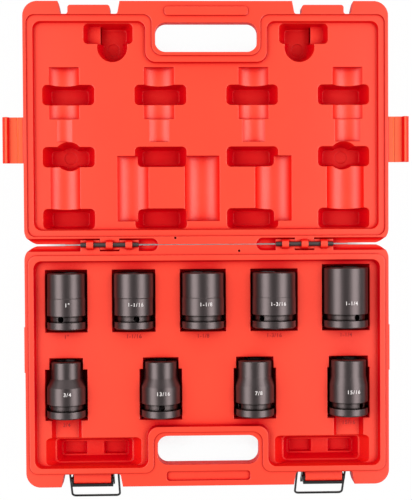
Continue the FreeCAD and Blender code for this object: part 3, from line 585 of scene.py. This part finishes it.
def numeral_mesh(name: str, text: str, height: float, weight: float, spacing: float) -> bpy.types.Mesh:
    """Cuts a size numeral out of thin film, centred on the origin and facing +Z.

    Args:
        name: name of the mesh.
        text: the numeral.
        height: height of a digit.
        weight: how much its strokes grow on each side.
        spacing: letter spacing, 1 for normal.

    Returns:
        The mesh in metres.
    """
    curve = bpy.data.curves.new(name, "FONT")
    curve.body = text
    curve.size = height * MM / DIGIT_SHARE
    curve.space_character = spacing
    curve.align_x, curve.align_y = "CENTER", "CENTER"
    curve.offset = weight * MM
    curve.resolution_u = DIGIT_CURVE_STEPS
    carrier = bpy.data.objects.new(name + "_cut", curve)
    bpy.context.scene.collection.objects.link(carrier)
    bpy.context.view_layer.update()
    mesh = bpy.data.meshes.new_from_object(carrier.evaluated_get(bpy.context.evaluated_depsgraph_get()))
    bpy.data.objects.remove(carrier)
    bpy.data.curves.remove(curve)
    mesh.name = name
    return mesh


def place_mesh(mesh: bpy.types.Mesh, body: str, finish: Finish) -> bpy.types.Object:
    """Puts a mesh that is already in the row frame on a body.

    Args:
        mesh: the mesh.
        body: CAD body that it rides on.
        finish: its finish.

    Returns:
        The new piece.
    """
    thing = bpy.data.objects.new(mesh.name, mesh)
    bpy.context.scene.collection.objects.link(thing)
    dress(thing, finish)
    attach(thing, body)
    log.info("piece %s rides on %s", thing.name, body)
    return thing


@dataclass(frozen=True)
class SocketSize:
    """One socket: its CAD node, the size that is marked on it and where the numeral sits."""

    node: str
    numeral: str
    body_diameter: float
    mark_aside: float = 3.0


@dataclass
class SocketSet:
    """The impact sockets, in two rows, with etched sizes."""

    sizes: Sequence[SocketSize] = (
        SocketSize("socket_1_inch", '1"', 44.0),
        SocketSize("socket_1_1_16_inch", "1-1/16", 44.6),
        SocketSize("socket_1_1_8_inch", "1-1/8", 48.4),
        SocketSize("socket_1_3_16_inch", "1-3/16", 50.0),
        SocketSize("socket_1_1_4_inch", "1-1/4", 50.6),
        SocketSize("socket_3_4_inch", "3/4", 44.3),
        SocketSize("socket_13_16_inch", "13/16", 44.5),
        SocketSize("socket_7_8_inch", "7/8", 44.5),
        SocketSize("socket_15_16_inch", "15/16", 44.5),
    )
    mark_from_drive: float = 27.5
    mark_height: float = 4.0
    mark_weight: float = 0.06
    mark_spacing: float = 1.2
    mark_proud: float = 0.06

    def build(self) -> None:
        """Wraps each etched numeral round its socket."""
        for size in self.sizes:
            low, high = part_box(size.node)
            centre_x, axis_z = (low.x + high.x) / 2, (low.z + high.z) / 2
            middle_y = low.y + self.mark_from_drive * MM
            radius = (size.body_diameter / 2 + self.mark_proud) * MM
            name = f"{size.node}_etched_size"
            mesh = numeral_mesh(name, size.numeral, self.mark_height, self.mark_weight, self.mark_spacing)
            for vertex in mesh.vertices:
                turn = (vertex.co.x + size.mark_aside * MM) / radius
                vertex.co = Vector(
                    (
                        centre_x + radius * math.sin(turn),
                        middle_y + vertex.co.y,
                        axis_z + radius * math.cos(turn),
                    )
                )
            place_mesh(mesh, size.node, Finish.ETCHING)

    def dress(self) -> None:
        """Gives the sockets their black coat."""
        for size in self.sizes:
            dress(frame["nodes"][size.node], Finish.SOCKET)


@dataclass
class Case:
    """Both halves of the case, their side flaps and hinge pins."""

    panel_z: float = 43.0
    mark_height: float = 4.2
    mark_weight: float = 0.06
    mark_spacing: float = 1.1
    mark_proud: float = 0.06
    mark_below_nest: float = 8.5
    web_thickness: float = 1.6
    web_lap: float = 1.1
    web_steps: int = 8

    def build(self, sockets: SocketSet) -> None:
        """Adds the moulded numerals and the flaps' webs.

        Args:
            sockets: the sockets, whose sizes are moulded below their nests.
        """
        for size in sockets.sizes:
            self._build_numeral(size)
        for side, hand in (("left", -1), ("right", 1)):
            self._build_web(side, hand)

    def _build_numeral(self, size: SocketSize) -> None:
        """Marks a size numeral on the panel below a nest.

        Args:
            size: the socket that lies in the nest.
        """
        low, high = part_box(size.node)
        name = f"{size.node}_moulded_size"
        mesh = numeral_mesh(name, size.numeral, self.mark_height, self.mark_weight, self.mark_spacing)
        level = (self.panel_z + self.mark_proud) * MM
        spot = Vector(((low.x + high.x) / 2, low.y - self.mark_below_nest * MM, level))
        for vertex in mesh.vertices:
            vertex.co += spot
        # The numeral is a dark film of painted shade, standing for its moulded grooves.
        place_mesh(mesh, "base", Finish.MARK)

    def _build_web(self, side: str, hand: int) -> None:
        """Bridges a flap's fold with the thin web.

        Args:
            side: name of the side.
            hand: -1 for the left side and 1 for the right.
        """
        low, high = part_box(f"side_flap_{side}")
        fold = low.x if hand > 0 else high.x
        middle_z = frame_joint(f"side_flap_{side}_fold")["pos_m"][2]
        start, end = fold - hand * self.web_lap * MM, fold + hand * self.web_lap * MM
        mesh = bmesh.new()
        half = self.web_thickness * MM / 2
        rings = []
        for step in range(self.web_steps + 1):
            x = start + (end - start) * step / self.web_steps
            corners = ((low.y, -half), (high.y, -half), (high.y, half), (low.y, half))
            rings.append([mesh.verts.new((x, y, middle_z + z)) for y, z in corners])
        for near, far in zip(rings, rings[1:]):
            for i in range(4):
                mesh.faces.new((near[i], near[(i + 1) % 4], far[(i + 1) % 4], far[i]))
        mesh.faces.new(rings[0])
        mesh.faces.new(rings[-1])
        bmesh.ops.recalc_face_normals(mesh, faces=mesh.faces)
        data = bpy.data.meshes.new(f"side_flap_{side}_web")
        mesh.to_mesh(data)
        mesh.free()
        thing = bpy.data.objects.new(data.name, data)
        bpy.context.scene.collection.objects.link(thing)
        dress(thing, Finish.WEB)
        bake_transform(thing)
        log.info("piece %s bends between the lid and its flap", thing.name)

    def dress(self) -> None:
        """Gives the moulded pieces their plastic and the hinge pins their steel."""
        for node in ("case_base", "case_lid", "side_flap_left", "side_flap_right"):
            dress(frame["nodes"][node], Finish.PLASTIC)
        for side in ("left", "right"):
            dress(frame["nodes"][f"hinge_pin_{side}"], Finish.PIN)


@dataclass
class Latches:
    """The levers, rivets and wire bails at the front of the base."""

    pieces: Sequence[str] = ("latch_lever", "latch_pin", "latch_bail")

    def dress(self) -> None:
        """Gives the latch metal its black coat."""
        for piece in self.pieces:
            for side in ("left", "right"):
                dress(frame["nodes"][f"{piece}_{side}"], Finish.LATCH)


def frame_joint(name: str) -> dict[str, Any]:
    """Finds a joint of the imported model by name."""
    return next(joint for joint in frame["joints"] if joint["name"] == name)


@dataclass(frozen=True)
class Softbox:
    """A rectangular soft light that points at the set."""

    name: str
    place_m: Span3
    size_m: Span
    watts: float


@dataclass
class Studio:
    """White floor, soft lights and the camera that looks straight down into the open case."""

    floor_half_m: float = 4.0
    aim_m: Span3 = (0.0, 0.13, 0.04)
    world_strength: float = 0.33
    softboxes: Sequence[Softbox] = (
        Softbox("left_softbox", (-1.1, 0.1, 1.12), (1.8, 0.95), 21.0),
        Softbox("right_softbox", (1.1, 0.1, 1.12), (1.8, 0.95), 21.0),
        Softbox("far_softbox", (0.0, 1.75, 1.2), (2.0, 0.8), 6.0),
    )
    camera_m: Span3 = (-0.02615, 0.14466, 1.04775)
    camera_turn_deg: Span3 = (-1.0017, -1.4206, -0.3224)
    focal_px: float = 911.46

    def build(self) -> None:
        """Sets up floor, lights, world and camera."""
        self._build_floor()
        for box in self.softboxes:
            self._build_light(box)
        self._build_world()
        self._build_camera()

    def _build_floor(self) -> None:
        """Lays the paper that the case lies on."""
        half = self.floor_half_m
        mesh = bpy.data.meshes.new("floor_paper")
        corners = [(-half, -half, 0), (half, -half, 0), (half, half, 0), (-half, half, 0)]
        mesh.from_pydata(corners, [], [(0, 1, 2, 3)])
        mesh.materials.append(StudioPaper().material())
        floor = bpy.data.objects.new("floor_paper", mesh)
        bpy.context.scene.collection.objects.link(floor)

    def _build_light(self, box: Softbox) -> None:
        """Hangs one softbox.

        Args:
            box: its place, size and power.
        """
        lamp = bpy.data.lights.new(box.name, "AREA")
        lamp.shape = "RECTANGLE"
        lamp.size, lamp.size_y = box.size_m
        lamp.energy = box.watts
        holder = bpy.data.objects.new(box.name, lamp)
        bpy.context.scene.collection.objects.link(holder)
        holder.location = box.place_m
        beam = Vector(self.aim_m) - Vector(box.place_m)
        holder.rotation_euler = beam.to_track_quat("-Z", "Y").to_euler()

    def _build_world(self) -> None:
        """Fills the room with even light."""
        world = bpy.data.worlds.new("studio_room")
        world.use_nodes = True
        tree = world.node_tree
        tree.nodes.clear()
        glow = add_node(tree, "ShaderNodeBackground", values={"Strength": self.world_strength})
        add_node(tree, "ShaderNodeOutputWorld", links={"Surface": glow.outputs["Background"]})
        bpy.context.scene.world = world

    def _build_camera(self) -> None:
        """Puts the camera where the photograph was taken from."""
        lens = bpy.data.cameras.new("photo_camera")
        lens.sensor_fit = "AUTO"
        lens.sensor_width = SENSOR
        lens.lens = self.focal_px / max(PHOTO_WIDTH_PX, PHOTO_HEIGHT_PX) * SENSOR
        camera = bpy.data.objects.new("photo_camera", lens)
        bpy.context.scene.collection.objects.link(camera)
        camera.location = self.camera_m
        camera.rotation_euler = Euler([math.radians(turn) for turn in self.camera_turn_deg], "XYZ")
        bpy.context.scene.camera = camera


def main() -> None:
    """Builds and dresses the set, then the studio round it."""
    logging.basicConfig(level=logging.INFO)
    bpy.context.scene.view_settings.view_transform = "Standard"
    sockets, case, latches = SocketSet(), Case(), Latches()
    sockets.build()
    case.build(sockets)
    for assembly in (sockets, case, latches):
        assembly.dress()
        log.info("%s dressed", type(assembly).__name__)
    Studio().build()


if __name__ == "__main__":
    main()
